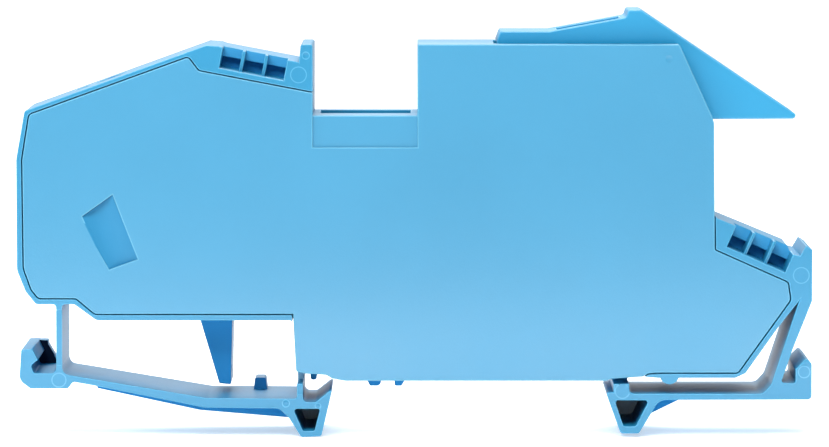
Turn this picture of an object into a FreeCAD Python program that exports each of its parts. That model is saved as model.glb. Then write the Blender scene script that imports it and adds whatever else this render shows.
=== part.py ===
import FreeCAD, Part
import math
import os

# A fused DIN rail terminal block with a lift-up fuse lever, in millimetres.
# X runs across the rail, Y along the rail (the cover is at -Y) and Z away from the rail.
# The origin is the middle of the seat that lies on the rail.

V = FreeCAD.Vector
NORMAL = V(0, 1, 0)

# Driving dimensions
THICK = 13.0
FRONT = -THICK / 2
BACK = THICK / 2
PARTING = -1.5  # the cover's wall ends here and the housing's wall begins
PARTING_GAP = 0.05
SKIN = 1.2  # the cover's plate and the housing's rear wall
WALL = 1.4
SEAM = 0.12  # between the cover's edge and the rim round it
TOP = 39.4
RUN = 0.05  # radial running clearance of pins in their holes

CAVITY_FRONT = FRONT + SKIN
CAVITY_BACK = BACK - SKIN
ROOTED = CAVITY_BACK + 0.2  # ribs, pegs and guides run this deep, into the rear wall
AHEAD = FRONT - 1  # cuts from the front start here
RIB = 1.2

COVER_PINS = [(-47.8, 13.2), (-24.0, 11.4), (12.5, 4.4), (34.0, 8.4), (-1.6, 34.6)]
COVER_PIN_R = 0.9
COVER_PIN_END = 3.2

MARKER_LEDGE = 1.5  # how far the ribs between the marker windows stand back from the front
WINDOW_DEPTH = 4.6
SLOT_DEPTH = 5.6
SLOT_HEIGHT = 1.2
ABOVE_MARKER = 5.0  # clears everything over a window

NOTCH_LEFT = -18.0
NOTCH_RIGHT = -5.8
NOTCH_FLOOR = 31.1

LEVER_FRONT = -3.8
LEVER_BACK = 5.0
LEVER_MID = (LEVER_FRONT + LEVER_BACK) / 2
LEVER_WALL = 1.0
PIVOT_X = 8.5
PIVOT_Z = 37.8
TRUNNION_R = 1.2
HEEL_R = 5.47
HEEL_CLEAR = 0.1
SIDE_CLEAR = 0.15  # between the lever and the walls beside it

FUSE_R = 2.5
FUSE_LENGTH = 20.0
FUSE_CAP_R = 2.6
FUSE_CAP_LENGTH = 5.0
FUSE_CAP_INSET = FUSE_LENGTH / 2 - FUSE_CAP_LENGTH / 2
FUSE_CAP_FLOOR = 0.5
GLASS_R = FUSE_R - 0.15
GLASS_BORE_R = 1.7
FUSE_WIRE_R = 0.15
FUSE_X = 17.0
FUSE_Z = 34.4
BLADE_THICK = 0.8
BLADE_LEFT_X = 9.5
BLADE_RIGHT_X = 24.1
BLADE_WIDTH = 3.0
BLADE_TIP = {BLADE_LEFT_X: 27.6, BLADE_RIGHT_X: 28.6}
CLIP_WIDTH = 4.0
CLIP_THICK = 0.5
CLIP_MOUTH = 1.9  # half the width of the gap that the fuse goes in by
FORK_GRIP = 0.03  # clearance between a blade and each tine
TINE_THICK = 0.6
FORK_HALF_WIDTH = 1.9

BAR_THICK = 1.0
BAR_WIDTH = 5.0
BAR_BEND = 0.8
WIRE_R = 2.1
WIRE_Y = 1.0
METAL_MID = LEVER_MID

SPRING_THICK = 0.5
SPRING_WIDTH = 4.0
EYE_R = 1.15  # inside radius of the spring's eye
PEG_R = EYE_R - RUN

LEAF_GAP = 0.1  # the left strut stops this far short of the housing, which it can slide past


# ---- plain geometry ----

def outline(points, y):
    """A closed wire in the plane at y. A point is (x, z), or (x, z, r) for a corner rounded to r."""
    count = len(points)
    stations = []
    for i, point in enumerate(points):
        here = V(point[0], y, point[1])
        if len(point) == 2:
            stations.append((here,))
            continue
        before = V(points[i - 1][0], y, points[i - 1][1])
        after = V(points[(i + 1) % count][0], y, points[(i + 1) % count][1])
        u = (before - here).normalize()
        v = (after - here).normalize()
        half = u.getAngle(v) / 2
        reach = point[2] / math.tan(half)
        bisector = (u + v).normalize()
        middle = here + bisector * (point[2] / math.sin(half) - point[2])
        stations.append((here + u * reach, middle, here + v * reach))
    edges = []
    for i, station in enumerate(stations):
        if len(station) == 3:
            edges.append(Part.Arc(*station).toShape())
        start = station[-1]
        end = stations[(i + 1) % count][0]
        if start.distanceToPoint(end) > 1e-6:
            edges.append(Part.LineSegment(start, end).toShape())
    return Part.Wire(edges)


def slab(points, y0, y1):
    """The outline, as a plate from y0 to y1."""
    return Part.Face(outline(points, y0)).extrude(V(0, y1 - y0, 0))


def inset_slab(points, inset, y0, y1):
    """The outline moved inwards by inset (outwards where it is negative), from y0 to y1."""
    face = Part.Face(outline(points, y0)).makeOffset2D(-inset, 2)
    return face.extrude(V(0, y1 - y0, 0))


def box(x0, x1, y0, y1, z0, z1):
    return Part.makeBox(x1 - x0, y1 - y0, z1 - z0, V(x0, y0, z0))


def rod_y(x, z, r, y0, y1):
    return Part.makeCylinder(r, y1 - y0, V(x, y0, z), NORMAL)


def rod_x(x0, x1, y, z, r):
    return Part.makeCylinder(r, x1 - x0, V(x0, y, z), V(1, 0, 0))


def join(shapes):
    whole = shapes[0]
    for shape in shapes[1:]:
        whole = whole.fuse(shape)
    return whole.removeSplitter()


def cut(shape, tools):
    for tool in tools:
        shape = shape.cut(tool)
    return shape.removeSplitter()


def strip(points, thick, bend, y0, y1):
    """A flat strip bent along a centre line, seen edge on. Its inside corners are rounded to bend."""
    line = [V(x, 0, z) for x, z in points]
    left, right = [], []
    for i, here in enumerate(line):
        ahead = (line[i + 1] - here).normalize() if i < len(line) - 1 else None
        behind = (here - line[i - 1]).normalize() if i > 0 else None
        way = ahead if behind is None else behind if ahead is None else (ahead + behind).normalize()
        across = V(-way.z, 0, way.x)
        stretch = 1.0 if behind is None or ahead is None else 1 / across.dot(V(-ahead.z, 0, ahead.x))
        offset = across * (thick / 2 * stretch)
        turn = 0 if behind is None or ahead is None else behind.z * ahead.x - behind.x * ahead.z
        for side, sign in ((left, 1), (right, -1)):
            corner = here + offset * sign
            if turn == 0:
                side.append((corner.x, corner.z))
            else:
                inside = (turn < 0) == (sign > 0)
                side.append((corner.x, corner.z, bend if inside else bend + thick))
    return slab(left + right[::-1], y0, y1)


def export(name, shape):
    solids = shape.Solids
    shape = solids[0] if len(solids) == 1 else Part.makeCompound(solids)
    print(f"{name:20s} {len(solids)} solid(s) {shape.Volume:9.2f} mm3 valid {shape.isValid()}")
    shape.exportStep(f"parts/{name}.step")


# ---- outlines of the block, clockwise from the upper left ----

STRUT_LEFT, STRUT_RIGHT = -48.05, -47.35
STRUT_TOP, STRUT_FOOT = 8.3, 1.9  # where the thin leaf runs into its thick roots
WEB_LEFT, WEB_RIGHT = -19.9, -19.2
WEB_TOP, WEB_FOOT = 0.78, -1.5
UNDER_COVER = -0.35  # the left web and the right foot's upright are cut back above this, to pass the cover

HOUSING = [
    (-30.4, 39.3), (-28.9, 39.2), (-28.4, 39.0), (-19.9, 37.4), (-19.6, 37.3), (-19.4, TOP, 0.3),
    (NOTCH_LEFT, TOP, 0.3), (NOTCH_LEFT, NOTCH_FLOOR), (NOTCH_RIGHT, NOTCH_FLOOR), (NOTCH_RIGHT, TOP),
    (24.7, TOP), (28.6, 30.9, 0.8), (28.8, 30.2), (28.8, 19.6), (29.2, 19.1), (31.4, 18.2), (37.7, 15.6),
    (38.0, 14.9), (38.9, 14.7), (39.6, 15.9), (40.35, 15.4, 0.2), (40.35, 9.3), (38.9, 9.5), (36.4, 6.3),
    (32.6, 0.9, 0.6), (31.4, 0.35), (22.3, 0.35), (20.6, 0.5), (17.1, 0.25), (16.2, 0.0), (-14.3, 0.0),
    (-15.7, 0.26), (-16.5, 0.7), (-19.0, 0.85), (-20.0, 1.1, 0.3), (-20.3, 7.1, 0.5), (-43.3, 7.1, 1.0),
    (-45.9, 9.0, 0.6), (STRUT_RIGHT, 9.0, 0.4), (STRUT_RIGHT, STRUT_TOP), (STRUT_LEFT, STRUT_TOP),
    (STRUT_LEFT, 9.0, 0.4), (-50.4, 9.0, 0.6), (-51.6, 10.5, 1.0), (-52.6, 13.0, 2.0), (-52.6, 26.0, 3.0),
    (-51.6, 31.65, 0.5),
]

COVER = [
    (-32.5, 37.9, 0.5), (-31.3, 36.3, 0.4), (NOTCH_LEFT, 33.75), (NOTCH_LEFT, NOTCH_FLOOR),
    (NOTCH_RIGHT, NOTCH_FLOOR), (NOTCH_RIGHT, TOP, 0.15), (24.7, TOP, 0.3), (28.6, 30.9, 0.8), (28.8, 30.2),
    (28.9, 19.3), (28.95, 15.35, 0.3), (37.5, 11.55, 0.5), (37.8, 9.5, 0.8), (31.7, 0.95, 0.5), (22.3, 0.95),
    (21.2, 0.85), (20.6, 0.5), (17.1, 0.25), (16.2, 0.0), (-14.3, 0.0), (-15.7, 0.26), (-16.5, 0.7),
    (-19.0, 0.85), (-20.0, 1.1, 0.3), (-20.35, 7.85), (-43.5, 7.85, 1.0), (-45.7, 9.7, 0.8),
    (-50.1, 9.7, 0.6), (-50.9, 10.7, 1.0), (-51.8, 13.2, 2.0), (-51.9, 26.0, 3.0), (-51.05, 31.2, 0.6),
]

RIGHT_FOOT = [
    (17.15, 0.3), (17.15, -1.35), (16.25, -1.35, 0.3), (18.0, -6.2, 0.4), (20.15, -6.2, 0.4), (22.5, -2.25, 1.5),
    (40.35, -2.2, 0.5), (40.35, 2.0, 0.3), (39.7, 2.7, 0.3), (38.45, 1.4, 0.3), (38.45, -0.25, 0.3),
    (36.75, -0.25, 0.3), (38.1, 3.7), (40.35, 9.4), (38.9, 9.7), (35.6, -0.4, 1.0), (34.6, -1.5, 1.0),
    (19.0, -1.5, 0.6), (19.0, 0.4),
]
RIGHT_FOOT_HOLE = [(17.3, -2.3, 0.3), (21.3, -2.3, 0.3), (19.75, -5.35, 0.4), (18.35, -5.35, 0.3)]

LEFT_FOOT = [
    (-52.15, 3.7, 0.2), (-52.4, 0.1, 1.2), (-51.1, -0.9, 0.4), (-46.7, -0.9, 0.4), (-46.1, -0.1, 0.4),
    (-43.6, -0.55), (-30.7, -3.15, 2.0), (-22.0, -3.25, 1.0), (-20.8, -4.4, 0.4), (-19.4, -6.65, 0.4),
    (-17.05, -6.5, 0.3), (-15.8, -1.2, 0.15), (-16.1, -1.2, 0.15), (-17.75, -2.5, 0.5), (WEB_RIGHT, -2.5, 0.6),
    (WEB_RIGHT, WEB_FOOT), (WEB_LEFT, WEB_FOOT), (WEB_LEFT, -2.08, 0.3), (-30.4, -2.0, 2.0),
    (STRUT_RIGHT, 0.82, 0.9), (STRUT_RIGHT, STRUT_FOOT), (STRUT_LEFT, STRUT_FOOT), (STRUT_LEFT, 0.9, 0.6),
    (-50.7, 0.9, 0.3), (-51.0, 1.8, 0.3), (-50.6, 2.15), (-50.2, 2.45, 0.1), (-50.85, 3.75, 0.2),
]
LEFT_FOOT_HOLE = [(-20.35, -3.3, 0.3), (-17.2, -3.3, 0.2), (-17.85, -5.9, 0.3), (-19.2, -5.9, 0.3)]


# ---- the two wire clamps share one layout: u runs in from the entry, v towards the current bar ----

class Clamp:
    """Where a wire goes in: its entry point, the way it goes in, and the side that the bar is on."""

    def __init__(self, entry, inwards, side):
        self.entry, self.inwards, self.side = entry, inwards, side

    def at(self, u, v):
        x = self.entry[0] + self.inwards[0] * u + self.side[0] * v
        z = self.entry[1] + self.inwards[1] * u + self.side[1] * v
        return x, z

    def place(self, points):
        return [self.at(*point[:2]) + tuple(point[2:]) for point in points]


SLOPE = math.atan2(39.3 - 31.65, -30.4 + 51.6)
LEFT_ENTRY = (-42.0, 39.3 - 11.6 * math.tan(SLOPE))
LEFT = Clamp(LEFT_ENTRY, (math.sin(SLOPE), -math.cos(SLOPE)), (math.cos(SLOPE), math.sin(SLOPE)))
RIGHT = Clamp((28.8, 24.1), (-1.0, 0.0), (0.0, 1.0))

BAR_V = 2.7  # centre line of the bar
EYE_UV = (7.5, -7.5)
TIP_UV = (11.2, 1.7)
GUIDE_LENGTH = 2.9
GUIDE_BELOW = -4.9
GUIDE_ABOVE = 3.0
TOOL_V = (-4.3, -2.7)
TOOL_WIDTH = 3.6
SPRING_BASE_V = -9.6
LEFT_BAR_Z = 23.6
RIGHT_BAR_TOP = RIGHT.at(0, BAR_V + BAR_THICK / 2)[1]


def wire_guide(clamp):
    """The block of plastic inside the wall that the wire and the tool pass through."""
    corners = [(WALL / 2, GUIDE_BELOW), (WALL / 2, GUIDE_ABOVE - 0.6), (GUIDE_LENGTH, GUIDE_ABOVE - 0.6),
               (GUIDE_LENGTH, GUIDE_BELOW)]
    return slab(clamp.place(corners), PARTING, ROOTED)


def wire_hole(clamp):
    x, z = clamp.at(-1.5, 0)
    way = V(clamp.inwards[0], 0, clamp.inwards[1])
    return Part.makeCylinder(WIRE_R, GUIDE_LENGTH + 3.0, V(x, WIRE_Y, z), way)


def tool_hole(clamp):
    low, high = TOOL_V
    corners = [(-1.5, low), (-1.5, high), (GUIDE_LENGTH + 1.5, high), (GUIDE_LENGTH + 1.5, low)]
    return slab(clamp.place(corners), WIRE_Y - TOOL_WIDTH / 2, WIRE_Y + TOOL_WIDTH / 2)


def spring_peg(clamp):
    x, z = clamp.at(*EYE_UV)
    return rod_y(x, z, PEG_R, PARTING + 0.1, ROOTED)


def spring_rest(clamp):
    """The rib that the spring's fixed leg lies on."""
    low, high = SPRING_BASE_V - 1.2, SPRING_BASE_V - SPRING_THICK / 2
    corners = [(8.2, low), (8.2, high), (15.0, high), (15.0, low)]
    return slab(clamp.place(corners), PARTING, ROOTED)


def spring_leg(clamp):
    """The swinging leg: an eye round the peg, and a straight leg whose edge bites the wire."""
    y0, y1 = METAL_MID - SPRING_WIDTH / 2, METAL_MID + SPRING_WIDTH / 2
    eye_x, eye_z = clamp.at(*EYE_UV)
    middle = EYE_R + SPRING_THICK / 2
    reach = (TIP_UV[0] - EYE_UV[0], TIP_UV[1] - EYE_UV[1])
    turn = math.atan2(reach[1], reach[0]) + math.acos(middle / math.hypot(*reach))
    root = clamp.at(EYE_UV[0] + middle * math.cos(turn), EYE_UV[1] + middle * math.sin(turn))
    leg = strip([root, clamp.at(*TIP_UV)], SPRING_THICK, 0, y0, y1)
    eye = rod_y(eye_x, eye_z, EYE_R + SPRING_THICK, y0, y1)
    mouth = slab(clamp.place([(7.5, -7.5), (9.7, -8.4), (9.7, -5.6)]), y0 - 1, y1 + 1)
    return cut(join([eye, leg]), [rod_y(eye_x, eye_z, EYE_R, y0 - 1, y1 + 1), mouth])


def spring_base(clamp):
    """The fixed leg of the same strip, with its turned-up end."""
    y0, y1 = METAL_MID - SPRING_WIDTH / 2, METAL_MID + SPRING_WIDTH / 2
    line = clamp.place([(8.4, SPRING_BASE_V), (15.6, SPRING_BASE_V), (16.6, SPRING_BASE_V + 1.6)])
    return strip(line, SPRING_THICK, 0.5, y0, y1)


# ---- housing ----

def marker_pocket(ledge_left, ledge_right, count=3, rib=0.4):
    """Windows for a marker, open at the top, with a deeper slot along the bottom of each."""
    start = V(ledge_left[0], 0, ledge_left[1])
    along = V(ledge_right[0], 0, ledge_right[1]) - start
    length = along.Length
    along.normalize()
    up = V(-along.z, 0, along.x)
    window = (length - rib * (count - 1)) / count
    pockets = []
    for i in range(count):
        near = start + along * (i * (window + rib))
        far = near + along * window

        def quad(rise):
            return [(p.x, p.z) for p in (near, near + up * rise, far + up * rise, far)]

        pockets.append(slab(quad(ABOVE_MARKER), AHEAD, FRONT + WINDOW_DEPTH))
        pockets.append(slab(quad(SLOT_HEIGHT), AHEAD, FRONT + SLOT_DEPTH))
    end = start + along * length
    ledge = [(p.x, p.z) for p in (start, start + up * ABOVE_MARKER, end + up * ABOVE_MARKER, end)]
    return pockets + [slab(ledge, AHEAD, FRONT + MARKER_LEDGE)]


def rail_bumps():
    """Two nibs that stand inside the rail's channel and locate the block across it."""
    left = [(-11.8, 0.2), (-11.8, -0.4), (-11.4, -1.2, 0.2), (-10.1, -1.2, 0.5), (-10.1, 0.2)]
    right = [(-8.5, 0.2), (-8.5, -1.2, 0.2), (-7.7, -1.2, 0.2), (-6.8, 0.2)]
    return [slab(left, -1.0, BACK), slab(right, -1.0, BACK)]


def arm_stop():
    """The wedge under the rim that stops the left arm from being bent too far up."""
    wedge = [(-31.7, 7.6), (-29.2, -0.9, 0.2), (-27.8, -1.05, 0.2), (-27.6, 7.6)]
    return slab(wedge, -1.0, BACK)


def web_guard():
    """The tongue beside the left web."""
    return slab([(-18.5, 1.2), (-18.4, -0.5, 0.3), (-17.7, -0.5, 0.3), (-17.6, 1.2)], -0.8, BACK)


def right_foot():
    """The fixed foot: a frame as thick as the block, with a thinner gusset."""
    frame = slab(RIGHT_FOOT, FRONT, BACK)
    gusset = slab([(21.0, -2.2), (26.0, -2.2), (21.1, -4.6)], -2.5, BACK - 0.5)
    under_cover = box(16.5, 19.5, AHEAD, PARTING, UNDER_COVER, 1.0)
    return join([cut(frame, [slab(RIGHT_FOOT_HOLE, AHEAD, BACK - 1.0), under_cover]), gusset])


def pin_sockets():
    return [rod_y(x, z, COVER_PIN_R + 0.9, PARTING, ROOTED) for x, z in COVER_PINS]


def pin_holes():
    return [rod_y(x, z, COVER_PIN_R + RUN, PARTING - 1, COVER_PIN_END + 0.3) for x, z in COVER_PINS]


def bar_ribs():
    """Ribs that stiffen the tray and carry the left current bar on their top edges."""
    top = LEFT_BAR_Z - BAR_THICK / 2
    upright = [box(x - RIB / 2, x + RIB / 2, PARTING, ROOTED, low, top)
               for x, low in ((-30.0, 8.2), (-12.0, 0.8), (2.0, 0.8))]
    shelf = box(12.6, 23.5, PARTING, ROOTED, 12.2, 12.2 + RIB)
    right_rest = box(12.3, 12.3 + RIB, PARTING, ROOTED, 22.5, RIGHT_BAR_TOP - BAR_THICK)
    return upright + [shelf, right_rest]


def lever_opening():
    """The gap in the top wall that the lever swings up through, with a hollow for its heel."""
    mouth = box(PIVOT_X, 29.6, LEVER_FRONT - SIDE_CLEAR, CAVITY_BACK, 29.9, TOP + 3)
    heel = rod_y(PIVOT_X, PIVOT_Z, HEEL_R + HEEL_CLEAR, LEVER_FRONT - SIDE_CLEAR, CAVITY_BACK)
    return mouth.fuse(heel)


def trunnion_hole(y0, y1):
    return rod_y(PIVOT_X, PIVOT_Z, TRUNNION_R + RUN, y0, y1)


def housing():
    tray = slab(HOUSING, FRONT, BACK)
    cover_room = inset_slab(COVER, -SEAM, AHEAD, PARTING)
    cavity = inset_slab(COVER, WALL, PARTING - 0.1, CAVITY_BACK)
    tray = cut(tray, [cover_room, cavity])
    inside = [wire_guide(LEFT), wire_guide(RIGHT), spring_peg(LEFT), spring_peg(RIGHT),
              spring_rest(LEFT), spring_rest(RIGHT)]
    tray = join([tray] + inside + bar_ribs() + pin_sockets())
    jumper_way = box(NOTCH_LEFT + 0.8, NOTCH_RIGHT - 0.8, PARTING - 0.01, CAVITY_BACK, 29.0, 31.5)
    tray = cut(tray, [jumper_way, lever_opening(), trunnion_hole(CAVITY_BACK - 1, BACK - 0.4)])
    tray = cut(tray, pin_holes() + [wire_hole(LEFT), wire_hole(RIGHT), tool_hole(LEFT), tool_hole(RIGHT)])
    tray = cut(tray, marker_pocket((-28.9, 36.65), (-21.4, 35.2)))
    tray = cut(tray, marker_pocket((30.35, 15.75), (37.15, 12.75)))
    under = rail_bumps() + [arm_stop(), web_guard(), right_foot()]
    nub = rod_y(23.7, 0.75, 1.15, FRONT, BACK - 1)
    return cut(join([tray] + under + [nub]), [inset_slab(COVER, -SEAM, AHEAD, PARTING)])


# ---- cover ----

def trough():
    """The shallow scoop in the cover's face: a long round-bottomed cut between two slanted ends."""
    radius, depth = 3.4, 0.75
    start, end = V(-43.15, 0, 20.6), V(-40.15, 0, 13.7)
    way = (end - start).normalize()
    centre_y = FRONT + depth - radius
    round_cut = Part.makeCylinder(radius, 20, V(start.x, centre_y, start.z) - way * 6, way)
    limits = slab([(-41.4, 21.8), (-44.9, 19.3), (-43.5, 16.0), (-41.8, 13.1), (-38.5, 14.3)],
                  AHEAD, FRONT + depth)
    return round_cut.common(limits)


def end_cover():
    shell = slab(COVER, FRONT, PARTING - PARTING_GAP)
    hollow = inset_slab(COVER, WALL, CAVITY_FRONT, PARTING)
    shell = cut(shell, [hollow])
    boss = rod_y(PIVOT_X, PIVOT_Z, TRUNNION_R + 1.0, CAVITY_FRONT - 0.2, LEVER_FRONT - 0.2)
    boss = boss.common(box(0, 20, FRONT, BACK, 30, TOP))
    pins = [rod_y(x, z, COVER_PIN_R, CAVITY_FRONT - 0.2, COVER_PIN_END) for x, z in COVER_PINS]
    roots = [rod_y(x, z, COVER_PIN_R + 0.8, CAVITY_FRONT - 0.2, PARTING - 0.3) for x, z in COVER_PINS]
    shell = join([shell, boss] + pins + roots)
    recess = box(NOTCH_LEFT, NOTCH_RIGHT, AHEAD, FRONT + 0.3, 27.4, NOTCH_FLOOR + 1)
    return cut(shell, [lever_opening(), trunnion_hole(FRONT + 0.6, LEVER_FRONT), recess, trough()])


# ---- sprung left foot ----

def left_foot():
    frame = cut(slab(LEFT_FOOT, FRONT, BACK), [slab(LEFT_FOOT_HOLE, AHEAD, BACK - 1.0)])
    rib = [(-43.6, -0.6), (-43.5, -1.3), (-31.4, -3.9, 2.0), (-20.7, -4.8), (-20.7, -2.6), (-30.7, -2.4)]
    peg = slab([(-25.3, -2.4), (-25.1, -0.65, 0.3), (-23.8, -0.65, 0.3), (-23.6, -2.4)], 3.0, BACK)
    hook_wall = [(-51.8, 0.6), (-51.7, 3.7), (-49.8, 3.7), (-49.75, 3.2), (-49.0, 1.95), (-48.4, 0.6)]
    return join([frame, slab(rib, -2.5, BACK - 0.5), peg, slab(hook_wall, 4.4, BACK)])


def left_strut():
    return box(STRUT_LEFT, STRUT_RIGHT, FRONT, BACK, STRUT_FOOT, STRUT_TOP - LEAF_GAP)


def left_web():
    leaf = box(WEB_LEFT, WEB_RIGHT, FRONT, BACK, WEB_FOOT, WEB_TOP)
    return cut(leaf, [box(WEB_LEFT - 1, WEB_RIGHT + 1, AHEAD, PARTING, UNDER_COVER, WEB_TOP + 1)])


# ---- fuse lever and fuse ----

LEVER = [
    (3.42, 39.6), (3.85, 40.8, 0.25), (9.6, 40.8, 1.0), (18.6, 42.45, 0.4), (18.85, 43.3, 0.3),
    (20.4, 43.3, 0.6), (38.75, 30.95, 0.35), (38.2, 30.55, 0.3), (27.8, 30.5), (27.6, 31.0, 0.2),
    (6.6, 31.4, 1.0),
]


def lever_blank():
    """The lever's outline, with its heel rounded about the pivot so that it clears the wall."""
    blank = slab(LEVER, LEVER_FRONT, LEVER_BACK)
    sweep = rod_y(PIVOT_X, PIVOT_Z, HEEL_R, LEVER_FRONT, LEVER_BACK)
    return blank.common(sweep.fuse(box(PIVOT_X, 45, LEVER_FRONT, LEVER_BACK, 25, 50)))


def lever():
    y0, y1 = LEVER_FRONT + LEVER_WALL, LEVER_BACK - LEVER_WALL
    holder = [(6.7, 25), (6.7, 39.4, 0.5), (18.2, 41.0, 0.5), (20.8, 41.4, 0.5), (27.5, 37.2), (27.5, 25)]
    grip = [(28.7, 25), (28.7, 36.1, 0.5), (37.2, 30.4), (37.2, 25)]
    channel = [(10.6, 41.6), (10.6, 40.58), (17.9, 41.95), (17.9, 43.0)]
    trunnions = rod_y(PIVOT_X, PIVOT_Z, TRUNNION_R, FRONT + 0.7, LEVER_FRONT + 0.1)
    rear = rod_y(PIVOT_X, PIVOT_Z, TRUNNION_R, LEVER_BACK - 0.1, BACK - 0.5)
    body = cut(lever_blank(), [slab(holder, y0, y1), slab(grip, y0, y1), slab(channel, y0, y1 - 0.6)])
    return join([body, trunnions, rear])


def fuse_clip(blade_x, cap_x):
    """A sprung ring open at the top, with a knife blade that points down from it."""
    x0, x1 = cap_x - CLIP_WIDTH / 2, cap_x + CLIP_WIDTH / 2
    ring = rod_x(x0, x1, LEVER_MID, FUSE_Z, FUSE_CAP_R + CLIP_THICK)
    bore = rod_x(x0 - 1, x1 + 1, LEVER_MID, FUSE_Z, FUSE_CAP_R)
    mouth = box(x0 - 1, x1 + 1, LEVER_MID - CLIP_MOUTH, LEVER_MID + CLIP_MOUTH, FUSE_Z, FUSE_Z + 5)
    blade = box(blade_x - BLADE_WIDTH / 2, blade_x + BLADE_WIDTH / 2, LEVER_MID - BLADE_THICK / 2,
                LEVER_MID + BLADE_THICK / 2, BLADE_TIP[blade_x], FUSE_Z - FUSE_CAP_R - 0.2)
    return cut(join([ring, blade]), [bore, mouth])


def fuse_cap(side):
    """A drawn cap pushed over the end of the glass: side is -1 on the left and 1 on the right."""
    end = FUSE_X + side * FUSE_LENGTH / 2
    mouth = end - side * FUSE_CAP_LENGTH
    floor = end - side * FUSE_CAP_FLOOR
    shell = rod_x(min(end, mouth), max(end, mouth), LEVER_MID, FUSE_Z, FUSE_CAP_R)
    return shell.cut(rod_x(min(floor, mouth), max(floor, mouth), LEVER_MID, FUSE_Z, GLASS_R))


def between_caps():
    """Where the glass and the wire start and end, against the floors of the two caps."""
    reach = FUSE_LENGTH / 2 - FUSE_CAP_FLOOR
    return FUSE_X - reach, FUSE_X + reach


def fuse_tube():
    x0, x1 = between_caps()
    return rod_x(x0, x1, LEVER_MID, FUSE_Z, GLASS_R).cut(rod_x(x0, x1, LEVER_MID, FUSE_Z, GLASS_BORE_R))


def fuse_wire():
    x0, x1 = between_caps()
    return rod_x(x0, x1, LEVER_MID, FUSE_Z, FUSE_WIRE_R)


# ---- current path ----

def bar_sides():
    return METAL_MID - BAR_WIDTH / 2, METAL_MID + BAR_WIDTH / 2


def current_bar_left():
    """From the left clamp down beside the wire, then level under the jumper notch to the fork."""
    start = LEFT.at(GUIDE_LENGTH + 0.3, BAR_V)
    drop = (start[1] - LEFT_BAR_Z) / -LEFT.inwards[1]
    corner = LEFT.at(GUIDE_LENGTH + 0.3 + drop, BAR_V)
    return strip([start, corner, (12.0, LEFT_BAR_Z)], BAR_THICK, BAR_BEND, *bar_sides())


def current_bar_right():
    near, far = RIGHT.at(GUIDE_LENGTH + 0.3, BAR_V), RIGHT.at(16.6, BAR_V)
    return strip([near, far], BAR_THICK, 0, *bar_sides())


def contact_fork(centre_x, floor, top):
    """Two tines that hold the blade between them, on a foot that stands on the bar."""
    gap = BLADE_THICK / 2 + FORK_GRIP
    outside = gap + TINE_THICK
    x0, x1 = centre_x - FORK_HALF_WIDTH, centre_x + FORK_HALF_WIDTH
    block = box(x0, x1, LEVER_MID - outside, LEVER_MID + outside, floor, top)
    slot = box(x0 - 1, x1 + 1, LEVER_MID - gap, LEVER_MID + gap, floor + 0.8, top + 1)
    lead_in = [box(x0 - 1, x1 + 1, LEVER_MID + side - 0.3, LEVER_MID + side + 0.3, top - 0.4, top + 1)
               for side in (-gap, gap)]
    return cut(block, [slot] + lead_in)


def main():
    os.makedirs("parts", exist_ok=True)
    export("housing", housing())
    export("end_cover", end_cover())
    export("lever", lever())
    export("left_foot", left_foot())
    export("left_strut", left_strut())
    export("left_web", left_web())
    export("current_bar_left", current_bar_left())
    export("current_bar_right", current_bar_right())
    export("contact_fork_left", contact_fork(BLADE_LEFT_X, LEFT_BAR_Z + BAR_THICK / 2, 30.0))
    export("contact_fork_right", contact_fork(BLADE_RIGHT_X, RIGHT_BAR_TOP, 31.0))
    for name, clamp in (("left", LEFT), ("right", RIGHT)):
        export(f"{name}_spring_leg", spring_leg(clamp))
        export(f"{name}_spring_base", spring_base(clamp))
    export("fuse_clip_left", fuse_clip(BLADE_LEFT_X, FUSE_X - FUSE_CAP_INSET))
    export("fuse_clip_right", fuse_clip(BLADE_RIGHT_X, FUSE_X + FUSE_CAP_INSET))
    export("fuse_cap_left", fuse_cap(-1))
    export("fuse_cap_right", fuse_cap(1))
    export("fuse_tube", fuse_tube())
    export("fuse_wire", fuse_wire())


main()
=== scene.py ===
import math

import bmesh
import bpy
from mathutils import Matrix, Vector


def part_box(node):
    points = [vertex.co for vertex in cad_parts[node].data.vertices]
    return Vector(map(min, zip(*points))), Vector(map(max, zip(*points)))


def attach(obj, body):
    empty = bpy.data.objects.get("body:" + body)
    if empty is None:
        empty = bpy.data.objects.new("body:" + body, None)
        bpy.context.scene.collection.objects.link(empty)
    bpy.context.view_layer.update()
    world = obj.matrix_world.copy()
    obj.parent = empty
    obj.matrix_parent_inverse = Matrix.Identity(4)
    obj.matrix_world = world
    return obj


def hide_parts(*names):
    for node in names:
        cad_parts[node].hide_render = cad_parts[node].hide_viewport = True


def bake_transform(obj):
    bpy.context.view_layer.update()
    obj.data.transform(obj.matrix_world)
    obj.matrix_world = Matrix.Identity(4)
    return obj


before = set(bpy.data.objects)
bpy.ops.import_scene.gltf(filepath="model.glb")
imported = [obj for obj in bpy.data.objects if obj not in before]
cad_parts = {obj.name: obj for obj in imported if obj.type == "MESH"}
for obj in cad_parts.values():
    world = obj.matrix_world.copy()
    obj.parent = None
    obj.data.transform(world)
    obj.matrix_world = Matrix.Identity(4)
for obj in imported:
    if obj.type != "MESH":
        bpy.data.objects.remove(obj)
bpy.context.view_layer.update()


# ---- Housing ----
# The tray that everything sits in: one injection moulding in light blue polyamide, with its rim, the two
# marker carriers, the rail nibs and the fixed right foot. Its edges are slightly broken, as a polished
# mould leaves them, and round ejector pins have left shallow marks on its flat faces. The broken edges
# and the rings round the marks are painted lighter, as a painted highlight; its deep recesses are painted
# darker, as painted shade, and the backs of the marker windows lighter, as painted light.

MM = 0.001


def alone(piece):
    """Makes this the only selected object, and the active one."""
    bpy.ops.object.select_all(action="DESELECT")
    piece.select_set(True)
    bpy.context.view_layer.objects.active = piece


WELD = 1e-6  # points nearer than this, in metres, are one point
BODY_SLOT, RIM_SLOT = 0, 1  # every piece has its own finish first, and that of its edges second, which on the plastics is lighter: a painted highlight


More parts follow.
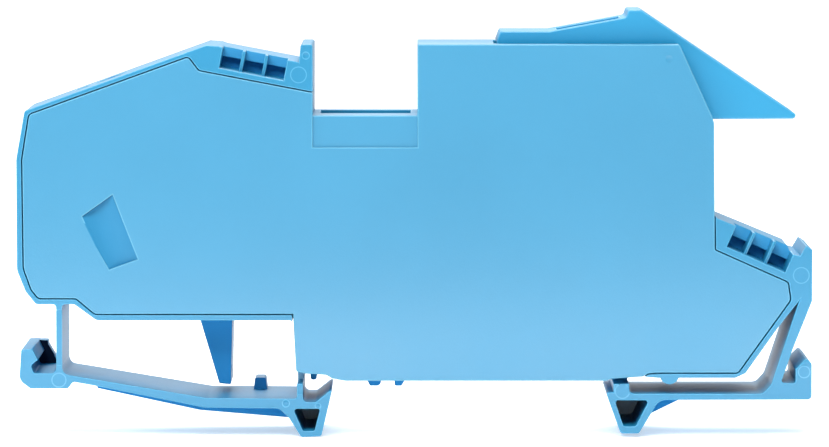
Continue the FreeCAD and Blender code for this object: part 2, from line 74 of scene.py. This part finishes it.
def clean_copy(node, name, *finishes):
    """A copy of a piece's own shape, merged into one closed skin, with its finishes in their slots."""
    piece = bpy.data.objects.new(name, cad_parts[node].data.copy())
    piece.data.materials.clear()
    for finish in finishes:
        piece.data.materials.append(finish)
    bpy.context.collection.objects.link(piece)
    alone(piece)
    bpy.ops.mesh.customdata_custom_splitnormals_clear()
    bpy.ops.object.mode_set(mode="EDIT")
    bpy.ops.mesh.select_all(action="SELECT")
    bpy.ops.mesh.remove_doubles(threshold=WELD)
    bpy.ops.object.mode_set(mode="OBJECT")
    for face in piece.data.polygons:
        face.material_index = BODY_SLOT
    return piece


PIN_MARK_DEPTH = 0.08 * MM
PIN_MARK_SLOPE = 0.065 * MM  # half the width of the ring round a mark
PIN_SIDES = 40
FLAT = 0.99  # how much of a normal points along the pin on the pin's two ends


def pin_mark(piece, x, y, z, radius, facing, ring_slot=RIM_SLOT):
    """Sinks an ejector pin's round mark into a face that looks along Y, with a sloping ring round it.

    The place is in metres along Y, and in millimetres along X and Z, as is the radius.
    """
    outer, inner = radius * MM + 3 * PIN_MARK_SLOPE, radius * MM - PIN_MARK_SLOPE
    wide_first = (outer, inner) if facing < 0 else (inner, outer)
    bpy.ops.object.select_all(action="DESELECT")
    bpy.ops.mesh.primitive_cone_add(vertices=PIN_SIDES, radius1=wide_first[0], radius2=wide_first[1],
                                    depth=2 * PIN_MARK_DEPTH, location=(x * MM, y, z * MM),
                                    rotation=(-math.pi / 2, 0, 0))
    pin = bpy.context.object
    for finish in piece.data.materials:
        pin.data.materials.append(finish)
    # the sloping ring gets ring_slot, by default the edges' lighter finish, a painted highlight
    for face in pin.data.polygons:
        is_end = abs(face.normal.z) > FLAT
        face.material_index = BODY_SLOT if is_end else ring_slot
    alone(piece)
    mark = piece.modifiers.new("pin mark", "BOOLEAN")
    mark.operation, mark.solver, mark.material_mode, mark.object = "DIFFERENCE", "EXACT", "INDEX", pin
    bpy.ops.object.modifier_apply(modifier=mark.name)
    bpy.data.objects.remove(pin)


IN_PLANE = math.radians(0.6)  # faces that turn by less than this are one flat
CORNER = math.radians(42)  # an outside edge that turns by more is rounded
CREASE = math.radians(46)  # an edge that turns by more stays sharp in the shading


def break_edges(piece, width, steps=2):
    """Rounds the outside edges, with the second finish on them (on the plastics a painted highlight), and
    keeps the flats flat in the shading.
    """
    alone(piece)
    bpy.ops.object.mode_set(mode="EDIT")
    bpy.ops.mesh.select_all(action="SELECT")
    bpy.ops.mesh.dissolve_limited(angle_limit=IN_PLANE, delimit={"MATERIAL"})
    bpy.ops.object.mode_set(mode="OBJECT")
    shape = bmesh.new()
    shape.from_mesh(piece.data)
    weight = shape.edges.layers.float.new("bevel_weight_edge")
    for line in shape.edges:
        outside = line.is_manifold and line.is_convex
        line[weight] = float(outside and line.calc_face_angle() > CORNER)
    shape.to_mesh(piece.data)
    shape.free()
    edge = piece.modifiers.new("broken edge", "BEVEL")
    edge.width, edge.segments, edge.limit_method = width, steps, "WEIGHT"
    edge.use_clamp_overlap, edge.loop_slide, edge.material = False, False, RIM_SLOT
    bpy.ops.object.modifier_apply(modifier=edge.name)
    bpy.ops.object.shade_smooth_by_angle(angle=CREASE)
    flats = piece.modifiers.new("flat flats", "WEIGHTED_NORMAL")
    flats.keep_sharp = True
    bpy.ops.object.modifier_apply(modifier=flats.name)


FORWARD = 0.9  # how much of a face's normal must point along Y


def paint_recess_light_and_shade(piece, front, nearest, furthest, lowest, slot):
    """Gives the material in that slot, painted shade or painted light, to the faces that look forward from so
    far behind the front.
    """
    for face in piece.data.polygons:
        looks_forward = face.normal.y < -FORWARD
        if looks_forward and nearest < face.center.y - front < furthest and face.center.z > lowest:
            face.material_index = slot


FLOW_SCALE, FLOW_DETAIL, FLOW_RANGE = 55.0, 3.0, (0.3, 0.7)
GRAIN_DETAIL, GRAIN_FADE = 4.0, 0.65
FLOW_DULLS, GRAIN_DULLS = 0.16, 0.1  # how much each adds to the roughness


def mould_skin():
    """Node group: what a moulded plastic skin adds to its colour, roughness and relief."""
    group = bpy.data.node_groups.new("mould skin", "ShaderNodeTree")
    group.interface.new_socket("Colour", in_out="INPUT", socket_type="NodeSocketColor")
    for name in ("Mottle", "Roughness", "Grain size"):
        group.interface.new_socket(name, in_out="INPUT", socket_type="NodeSocketFloat")
    group.interface.new_socket("Colour", in_out="OUTPUT", socket_type="NodeSocketColor")
    for name in ("Roughness", "Height"):
        group.interface.new_socket(name, in_out="OUTPUT", socket_type="NodeSocketFloat")
    add, link = group.nodes.new, group.links.new
    given, out, place = add("NodeGroupInput"), add("NodeGroupOutput"), add("ShaderNodeTexCoord")

    flow = add("ShaderNodeTexNoise")  # slow changes where the melt ran and cooled
    flow.inputs["Scale"].default_value, flow.inputs["Detail"].default_value = FLOW_SCALE, FLOW_DETAIL
    link(place.outputs["Object"], flow.inputs["Vector"])
    tone = add("ShaderNodeMapRange")
    tone.inputs["From Min"].default_value, tone.inputs["From Max"].default_value = FLOW_RANGE
    tone.inputs["To Min"].default_value, tone.inputs["To Max"].default_value = -1.0, 1.0
    link(flow.outputs["Fac"], tone.inputs["Value"])
    amount = add("ShaderNodeMath")
    amount.operation = "MULTIPLY_ADD"
    amount.inputs[2].default_value = 1.0
    link(tone.outputs["Result"], amount.inputs[0])
    link(given.outputs["Mottle"], amount.inputs[1])
    shade = add("ShaderNodeVectorMath")
    shade.operation = "SCALE"
    link(given.outputs["Colour"], shade.inputs[0])
    link(amount.outputs[0], shade.inputs["Scale"])
    link(shade.outputs["Vector"], out.inputs["Colour"])

    grain = add("ShaderNodeTexNoise")  # the fine texture that spark erosion leaves in the mould
    grain.inputs["Detail"].default_value, grain.inputs["Roughness"].default_value = GRAIN_DETAIL, GRAIN_FADE
    link(place.outputs["Object"], grain.inputs["Vector"])
    link(given.outputs["Grain size"], grain.inputs["Scale"])
    link(grain.outputs["Fac"], out.inputs["Height"])

    polish = add("ShaderNodeMath")  # the grain and the flow both change the gloss a little
    polish.operation = "MULTIPLY_ADD"
    polish.inputs[1].default_value = FLOW_DULLS
    link(flow.outputs["Fac"], polish.inputs[0])
    link(given.outputs["Roughness"], polish.inputs[2])
    rub = add("ShaderNodeMath")
    rub.operation = "MULTIPLY_ADD"
    rub.inputs[1].default_value = GRAIN_DULLS
    link(grain.outputs["Fac"], rub.inputs[0])
    link(polish.outputs[0], rub.inputs[2])
    link(rub.outputs[0], out.inputs["Roughness"])
    return group


MOULD_SKIN = mould_skin()
POLYAMIDE_IOR = 1.53
GRAIN_STRENGTH = 0.35


def polyamide(name, colour, roughness, mottle, grain_size, relief, specular=0.5):
    """A moulded polyamide: one colour all through, a fine skin, and a soft gloss."""
    material = bpy.data.materials.new(name)
    material.use_nodes = True
    nodes, link = material.node_tree.nodes, material.node_tree.links.new
    shader = nodes["Principled BSDF"]
    shader.inputs["IOR"].default_value = POLYAMIDE_IOR
    shader.inputs["Specular IOR Level"].default_value = specular
    skin = nodes.new("ShaderNodeGroup")
    skin.node_tree = MOULD_SKIN
    skin.inputs["Colour"].default_value = (*colour, 1)
    skin.inputs["Mottle"].default_value = mottle
    skin.inputs["Roughness"].default_value = roughness
    skin.inputs["Grain size"].default_value = grain_size
    bump = nodes.new("ShaderNodeBump")
    bump.inputs["Strength"].default_value, bump.inputs["Distance"].default_value = GRAIN_STRENGTH, relief
    link(skin.outputs["Colour"], shader.inputs["Base Color"])
    link(skin.outputs["Roughness"], shader.inputs["Roughness"])
    link(skin.outputs["Height"], bump.inputs["Height"])
    link(bump.outputs["Normal"], shader.inputs["Normal"])
    return material


FINE, MEDIUM, COARSE = 3600.0, 2600.0, 1500.0  # the grain of the mould's skin
SHALLOW, MIDDLING, DEEP = 0.03 * MM, 0.04 * MM, 0.05 * MM  # and its relief
HOUSING_BLUE = polyamide("housing blue polyamide", (0.006, 0.216, 0.404),
                         roughness=0.31, mottle=0.05, grain_size=MEDIUM, relief=SHALLOW)
# the edges' colour is lighter than the housing's, a painted highlight; they are also a little glossier
HOUSING_RIM = polyamide("housing blue, edges with painted highlight", (0.052, 0.315, 0.520),
                        roughness=0.24, mottle=0.04, grain_size=MEDIUM, relief=SHALLOW)
# a shaded copy of the housing blue, and rougher: painted shade for forward faces deep in recesses
HOUSING_SHADED = polyamide("housing blue, painted recess shade", (0.015, 0.225, 0.530),
                           roughness=0.55, mottle=0.06, grain_size=COARSE, relief=DEEP, specular=0.10)
# a lighter copy of the housing blue: painted light on the backs of the marker windows
WINDOW_BLUE = polyamide("housing blue, marker windows with painted light", (0.040, 0.335, 0.640),
                        roughness=0.40, mottle=0.05, grain_size=MEDIUM, relief=SHALLOW, specular=0.25)
SHADED_SLOT, WINDOW_SLOT = 2, 3

HOUSING_EDGE = 0.11 * MM
FRONT_PIN_MARKS = ((-19.65, 35.85, 0.92), (-18.8, 38.1, 0.42), (39.05, 12.4, 0.92), (39.45, 1.05, 0.68),
                   (18.2, -1.2, 0.85))  # X, Z and radius, in millimetres
BACK_PIN_MARKS = ((-46.0, 27.0, 1.5), (-44.0, 13.5, 1.5), (-27.5, 34.0, 1.2), (-24.5, 14.0, 1.5),
                  (-12.0, 27.0, 1.5), (-1.5, 36.0, 1.2), (0.0, 4.5, 1.5), (22.5, 18.0, 1.5), (25.5, 5.0, 1.5))
SHADED_DEPTH = (2.4 * MM, 10.4 * MM)  # faces this far back get the painted shade: a duller, bluer colour for the shade in recesses
WINDOW_DEPTH = (4.4 * MM, 4.8 * MM)
ABOVE_FOOT = 10 * MM  # every marker window is higher than this

housing_low, housing_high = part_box("housing")
housing = clean_copy("housing", "housing_moulding", HOUSING_BLUE, HOUSING_RIM, HOUSING_SHADED, WINDOW_BLUE)
for mark_x, mark_z, mark_r in FRONT_PIN_MARKS:
    pin_mark(housing, mark_x, housing_low.y, mark_z, mark_r, facing=-1)
for mark_x, mark_z, mark_r in BACK_PIN_MARKS:
    pin_mark(housing, mark_x, housing_high.y, mark_z, mark_r, facing=1)
break_edges(housing, HOUSING_EDGE)
# deep forward faces get painted shade, the marker windows' backs painted light
paint_recess_light_and_shade(housing, housing_low.y, *SHADED_DEPTH, housing_low.z - MM, SHADED_SLOT)
paint_recess_light_and_shade(housing, housing_low.y, *WINDOW_DEPTH, ABOVE_FOOT, WINDOW_SLOT)
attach(housing, "housing")
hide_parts("housing")


# ---- End cover ----
# The lid that closes the tray: a flat blue plate with its own side wall, moulded on its own and held by snap
# pins. Its face has a fine spark-eroded grain, and is a little paler and glossier than the housing.

COVER_BLUE = polyamide("cover blue polyamide", (0.034, 0.246, 0.426),
                       roughness=0.27, mottle=0.03, grain_size=FINE, relief=MIDDLING)
# the edges' colour is lighter than the cover's, a painted highlight
COVER_RIM = polyamide("cover blue, edges with painted highlight", (0.090, 0.345, 0.520),
                      roughness=0.30, mottle=0.03, grain_size=FINE, relief=MIDDLING)
# a darker copy of the cover blue: painted shade inside the scoop
SCOOP_BLUE = polyamide("cover blue, scoop with painted shade", (0.024, 0.215, 0.405),
                       roughness=0.40, mottle=0.03, grain_size=MEDIUM, relief=SHALLOW, specular=0.20)
SCOOP_SLOT = 2

COVER_EDGE = 0.14 * MM
COVER_MARK_X, COVER_MARK_Z, COVER_MARK_R = 23.5, 37.7, 0.45
SCOOP_LOW, SCOOP_HIGH = Vector((-45.5, -6.49, 12.5)) * MM, Vector((-38.0, -5.6, 22.5)) * MM

cover = clean_copy("end_cover", "end_cover_moulding", COVER_BLUE, COVER_RIM, SCOOP_BLUE)
cover_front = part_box("end_cover")[0].y
pin_mark(cover, COVER_MARK_X, cover_front, COVER_MARK_Z, COVER_MARK_R, facing=-1, ring_slot=BODY_SLOT)
break_edges(cover, COVER_EDGE)
# faces inside the scoop get the darker cover blue, a painted shade
for face in cover.data.polygons:
    in_scoop = all(low < at < high for low, at, high in zip(SCOOP_LOW, face.center, SCOOP_HIGH))
    if in_scoop and face.material_index == BODY_SLOT:
        face.material_index = SCOOP_SLOT
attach(cover, "cover")
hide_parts("end_cover")


# ---- Fuse lever ----
# The hinged fuse holder: a hollow blue moulding with two round trunnions and a wedge to pull it up by.
# Its edges are the glossiest on the block, and are painted lighter, as a painted highlight.

LEVER_EDGE = 0.16 * MM
LEVER_BLUE = polyamide("lever blue polyamide", (0.006, 0.258, 0.485),
                       roughness=0.30, mottle=0.04, grain_size=MEDIUM, relief=SHALLOW)
# the edges' colour is lighter than the lever's, a painted highlight; their gloss is their own
LEVER_RIM = polyamide("lever blue, edges with painted highlight", (0.065, 0.340, 0.560),
                      roughness=0.20, mottle=0.04, grain_size=MEDIUM, relief=SHALLOW)

lever = clean_copy("lever", "lever_moulding", LEVER_BLUE, LEVER_RIM)
break_edges(lever, LEVER_EDGE, steps=3)
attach(lever, "fuse_lever")
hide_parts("lever")


# ---- Sprung rail foot ----
# The left foot, which a screwdriver in its hook pulls back off the rail. It is moulded with the housing,
# and hangs from it on two thin leaves that bend.

# a near-black copy of the housing blue: painted shade on the deep wall of the hook's pocket
HOOK_POCKET_SHADE = polyamide("housing blue, painted pocket shade", (0.002, 0.010, 0.030),
                       roughness=0.75, mottle=0.10, grain_size=COARSE, relief=DEEP, specular=0.10)
HOOK_SLOT = 3

FOOT_EDGE = 0.09 * MM
FOOT_PIN_MARKS = ((-47.75, 0.1, 0.82), (-17.45, -2.95, 0.32), (-21.2, -2.65, 0.42))
HOOK_WALL_DEPTH = (10.5 * MM, 11.3 * MM)  # the wall of the hook's pocket, painted far darker than plain plastic, as painted shade

foot_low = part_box("left_foot")[0]
foot = clean_copy("left_foot", "left_foot_moulding", HOUSING_BLUE, HOUSING_RIM, HOUSING_SHADED, HOOK_POCKET_SHADE)
for mark_x, mark_z, mark_r in FOOT_PIN_MARKS:
    pin_mark(foot, mark_x, foot_low.y, mark_z, mark_r, facing=-1)
break_edges(foot, FOOT_EDGE)
# deep forward faces get painted shade, and the hook pocket's wall a darker painted shade
paint_recess_light_and_shade(foot, foot_low.y, *SHADED_DEPTH, foot_low.z - MM, SHADED_SLOT)
paint_recess_light_and_shade(foot, foot_low.y, *HOOK_WALL_DEPTH, foot_low.z - MM, HOOK_SLOT)
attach(foot, "rail_foot")
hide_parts("left_foot")


LEAF_ROOT, LEAF_EDGE = 0.12 * MM, 0.08 * MM  # how far a leaf runs into the piece at each end, and its edges


def leaf(node, name, rows):
    """A thin leaf between two roots, cut into rows along its length so that it can bend."""
    low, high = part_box(node)
    piece = clean_copy(node, name, HOUSING_BLUE, HOUSING_RIM)
    bpy.ops.object.mode_set(mode="EDIT")
    for row in range(1, rows):
        bpy.ops.mesh.select_all(action="SELECT")
        bpy.ops.mesh.bisect(plane_co=(0, 0, low.z + (high.z - low.z) * row / rows), plane_no=(0, 0, 1))
    bpy.ops.object.mode_set(mode="OBJECT")
    for corner in piece.data.vertices:
        if corner.co.z > high.z - LEAF_ROOT:
            corner.co.z = high.z + LEAF_ROOT
        elif corner.co.z < low.z + LEAF_ROOT:
            corner.co.z = low.z - LEAF_ROOT
    break_edges(piece, LEAF_EDGE)
    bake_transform(piece)
    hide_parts(node)


leaf("left_strut", "left_strut_leaf", rows=16)
leaf("left_web", "left_web_leaf", rows=8)


# ---- Current bars and contact forks ----
# Four strips of copper, stamped, bent and tinned. Each bar lies in the tray and runs from a wire clamp
# towards the fuse, and the fork that stands on it grips one of the lever's blades.

ROLLING_LINES = (400, 9000, 400)  # noise stretched along X, the way the strip was rolled
LINE_DETAIL = 3.0
DULLER = 0.18  # how much rougher the dullest lines are


def rolled_metal(name, colour, roughness, streak):
    """A rolled or drawn metal strip, with fine lines along X and a few dull patches."""
    material = bpy.data.materials.new(name)
    material.use_nodes = True
    nodes, link = material.node_tree.nodes, material.node_tree.links.new
    shader = nodes["Principled BSDF"]
    shader.inputs["Metallic"].default_value = 1.0
    place, turn = nodes.new("ShaderNodeTexCoord"), nodes.new("ShaderNodeMapping")
    turn.inputs["Scale"].default_value = ROLLING_LINES
    lines = nodes.new("ShaderNodeTexNoise")
    lines.inputs["Scale"].default_value, lines.inputs["Detail"].default_value = 1.0, LINE_DETAIL
    link(place.outputs["Object"], turn.inputs["Vector"])
    link(turn.outputs["Vector"], lines.inputs["Vector"])
    tint = nodes.new("ShaderNodeMix")
    tint.data_type = "RGBA"
    tint.inputs["A"].default_value = (*[c * (1 - streak) for c in colour], 1)
    tint.inputs["B"].default_value = (*colour, 1)
    link(lines.outputs["Fac"], tint.inputs["Factor"])
    link(tint.outputs["Result"], shader.inputs["Base Color"])
    gloss = nodes.new("ShaderNodeMapRange")
    gloss.inputs["To Min"].default_value, gloss.inputs["To Max"].default_value = roughness, roughness + DULLER
    link(lines.outputs["Fac"], gloss.inputs["Value"])
    link(gloss.outputs["Result"], shader.inputs["Roughness"])
    return material


TINNED_COPPER = rolled_metal("tinned copper", (0.78, 0.76, 0.72), roughness=0.28, streak=0.18)
STRIP_EDGE = 0.08 * MM

for node in ("current_bar_left", "current_bar_right", "contact_fork_left", "contact_fork_right"):
    strip = clean_copy(node, node + "_strip", TINNED_COPPER, TINNED_COPPER)
    break_edges(strip, STRIP_EDGE)
    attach(strip, "housing")
    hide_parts(node)


# ---- Wire clamp springs ----
# One stainless spring strip in each wire clamp, bent round a peg of the housing. Its base stays put and its
# leg swings to let a wire in, so here each strip is two pieces, a leg and a base.

SPRING_STEEL = rolled_metal("spring steel", (0.62, 0.62, 0.63), roughness=0.2, streak=0.25)
SPRING_EDGE = 0.06 * MM

for side in ("left", "right"):
    for node, body in ((side + "_spring_leg", side + "_clamp"), (side + "_spring_base", "housing")):
        strip = clean_copy(node, node + "_strip", SPRING_STEEL, SPRING_STEEL)
        break_edges(strip, SPRING_EDGE)
        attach(strip, body)
        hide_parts(node)


# ---- Fuse clips and caps ----
# Nickel-plated metal. The clips are stamped and bent from bronze strip, hold the fuse in the lever, and carry
# the blades that go into the forks. The caps are drawn brass cups, fixed on the ends of the fuse's tube.

NICKEL = rolled_metal("nickel plate", (0.72, 0.68, 0.60), roughness=0.16, streak=0.15)
NICKEL_EDGE = 0.06 * MM

for node, slot in (("fuse_clip_left", "nickel_clip"), ("fuse_clip_right", "nickel_clip"),
                   ("fuse_cap_left", "nickel_cap"), ("fuse_cap_right", "nickel_cap")):
    metal = clean_copy(node, node + "_shell", NICKEL, NICKEL)
    break_edges(metal, NICKEL_EDGE)
    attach(metal, "fuse_lever")
    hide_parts(node)


# ---- Fuse tube and wire ----
# A drawn glass tube with its ends melted smooth, which shows faint ripples along it. A thin silver-plated
# wire runs down its middle, from one cap to the other.

GLASS_IOR = 1.51
DRAWN_RIPPLES = (40, 700, 700)  # stretched along the tube, as it was drawn
RIPPLE_DETAIL, RIPPLE_STRENGTH, RIPPLE_RELIEF = 2.0, 0.2, 0.05 * MM
HAZE_RANGE = (0.01, 0.06)
TUBE_EDGE, WIRE_EDGE = 0.12 * MM, 0.02 * MM

GLASS = bpy.data.materials.new("fuse glass")
GLASS.use_nodes = True
glass_nodes, glass_link = GLASS.node_tree.nodes, GLASS.node_tree.links.new
glass_shader = glass_nodes["Principled BSDF"]
glass_shader.inputs["Transmission Weight"].default_value = 1.0
glass_shader.inputs["IOR"].default_value = GLASS_IOR
glass_place, glass_turn = glass_nodes.new("ShaderNodeTexCoord"), glass_nodes.new("ShaderNodeMapping")
glass_turn.inputs["Scale"].default_value = DRAWN_RIPPLES
glass_link(glass_place.outputs["Object"], glass_turn.inputs["Vector"])
ripples = glass_nodes.new("ShaderNodeTexNoise")
ripples.inputs["Scale"].default_value, ripples.inputs["Detail"].default_value = 1.0, RIPPLE_DETAIL
glass_link(glass_turn.outputs["Vector"], ripples.inputs["Vector"])
ripple_bump = glass_nodes.new("ShaderNodeBump")
ripple_bump.inputs["Strength"].default_value = RIPPLE_STRENGTH
ripple_bump.inputs["Distance"].default_value = RIPPLE_RELIEF
glass_link(ripples.outputs["Fac"], ripple_bump.inputs["Height"])
glass_link(ripple_bump.outputs["Normal"], glass_shader.inputs["Normal"])
haze = glass_nodes.new("ShaderNodeMapRange")
haze.inputs["To Min"].default_value, haze.inputs["To Max"].default_value = HAZE_RANGE
glass_link(ripples.outputs["Fac"], haze.inputs["Value"])
glass_link(haze.outputs["Result"], glass_shader.inputs["Roughness"])

tube = clean_copy("fuse_tube", "fuse_glass_tube", GLASS, GLASS)
break_edges(tube, TUBE_EDGE, steps=3)
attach(tube, "fuse_lever")
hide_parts("fuse_tube")

SILVERED_WIRE = rolled_metal("silvered fuse wire", (0.84, 0.83, 0.80), roughness=0.22, streak=0.12)
wire = clean_copy("fuse_wire", "fuse_wire_drawn", SILVERED_WIRE, SILVERED_WIRE)
break_edges(wire, WIRE_EDGE)
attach(wire, "fuse_lever")
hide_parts("fuse_wire")


# ---- Floor, light and camera ----
# A pale floor and soft white light from all round, dimmer from the front. Two large softboxes stand above,
# one in front and one behind, and a low narrow card in front shows only in the gloss of the near faces.

FLOOR_SIZE, FLOOR_Y = 8, 2.0
FLOOR_Z = foot_low.z
FLOOR_WHITE, FLOOR_ROUGHNESS, FLOOR_SPECULAR, FLOOR_GLOW = 0.90, 0.8, 0.2, 0.45
bpy.ops.object.select_all(action="DESELECT")
bpy.ops.mesh.primitive_plane_add(size=FLOOR_SIZE, location=(0, FLOOR_Y, FLOOR_Z))
floor = bpy.context.object
floor.name = "floor"
floor_paint = bpy.data.materials.new("floor paint")
floor_paint.use_nodes = True
floor_shader = floor_paint.node_tree.nodes["Principled BSDF"]
floor_shader.inputs["Base Color"].default_value = (FLOOR_WHITE, FLOOR_WHITE, FLOOR_WHITE, 1)
floor_shader.inputs["Roughness"].default_value = FLOOR_ROUGHNESS
floor_shader.inputs["Specular IOR Level"].default_value = FLOOR_SPECULAR
floor_shader.inputs["Emission Color"].default_value = (1, 1, 1, 1)
floor_shader.inputs["Emission Strength"].default_value = FLOOR_GLOW
floor.data.materials.append(floor_paint)

FRONT_TO_BACK = (-0.7, 0.6)  # along Y, where the sky starts and stops brightening
SKY_FRONT, SKY_BACK = 0.18, 1.15
world = bpy.data.worlds.new("studio")
bpy.context.scene.world = world
world.use_nodes = True
sky, sky_link = world.node_tree.nodes, world.node_tree.links.new
heading, parts = sky.new("ShaderNodeTexCoord"), sky.new("ShaderNodeSeparateXYZ")
depth = sky.new("ShaderNodeMapRange")
depth.interpolation_type = "SMOOTHSTEP"
depth.inputs["From Min"].default_value, depth.inputs["From Max"].default_value = FRONT_TO_BACK
depth.inputs["To Min"].default_value, depth.inputs["To Max"].default_value = SKY_FRONT, SKY_BACK
sky_link(heading.outputs["Generated"], parts.inputs["Vector"])
sky_link(parts.outputs["Y"], depth.inputs["Value"])
sky_link(depth.outputs["Result"], sky["Background"].inputs["Strength"])
sky["Background"].inputs["Color"].default_value = (1, 1, 1, 1)


def panel(name, place, aim, width, height, power, gloss_only=False):
    """A softbox: a flat area light turned towards a point."""
    light = bpy.data.lights.new(name, "AREA")
    light.shape, light.size, light.size_y, light.energy = "RECTANGLE", width, height, power
    lamp = bpy.data.objects.new(name, light)
    bpy.context.collection.objects.link(lamp)
    lamp.location = place
    lamp.rotation_euler = (Vector(aim) - Vector(place)).to_track_quat("-Z", "Y").to_euler()
    lamp.visible_diffuse, lamp.visible_camera = not gloss_only, False


CARD_Z = -2.2 * MM
panel("key softbox", (-0.12, -0.45, 0.55), aim=(0, 0, 0.01), width=0.55, height=0.40, power=6.0)
panel("back softbox", (-0.10, 0.50, 0.50), aim=(0, 0, 0.02), width=0.60, height=0.30, power=3.0)
panel("low gloss card", (0, -0.045, CARD_Z), aim=(0, 0, CARD_Z), width=0.30, height=0.008, power=0.062,
      gloss_only=True)

CAMERA_LENS, SENSOR_WIDTH = 221.0, 36.0
CAMERA_PLACE, LOOKS_DOWN = (-6.14 * MM, -598.5 * MM, 67.16 * MM), 4.70
camera_data = bpy.data.cameras.new("camera")
camera_data.lens = CAMERA_LENS
camera_data.sensor_width = SENSOR_WIDTH
camera_data.clip_start, camera_data.clip_end = 0.01, 20.0
camera = bpy.data.objects.new("camera", camera_data)
bpy.context.collection.objects.link(camera)
camera.location = CAMERA_PLACE
camera.rotation_euler = (math.radians(90 - LOOKS_DOWN), 0, 0)
bpy.context.scene.camera = camera
bpy.context.scene.view_settings.view_transform = "Standard"
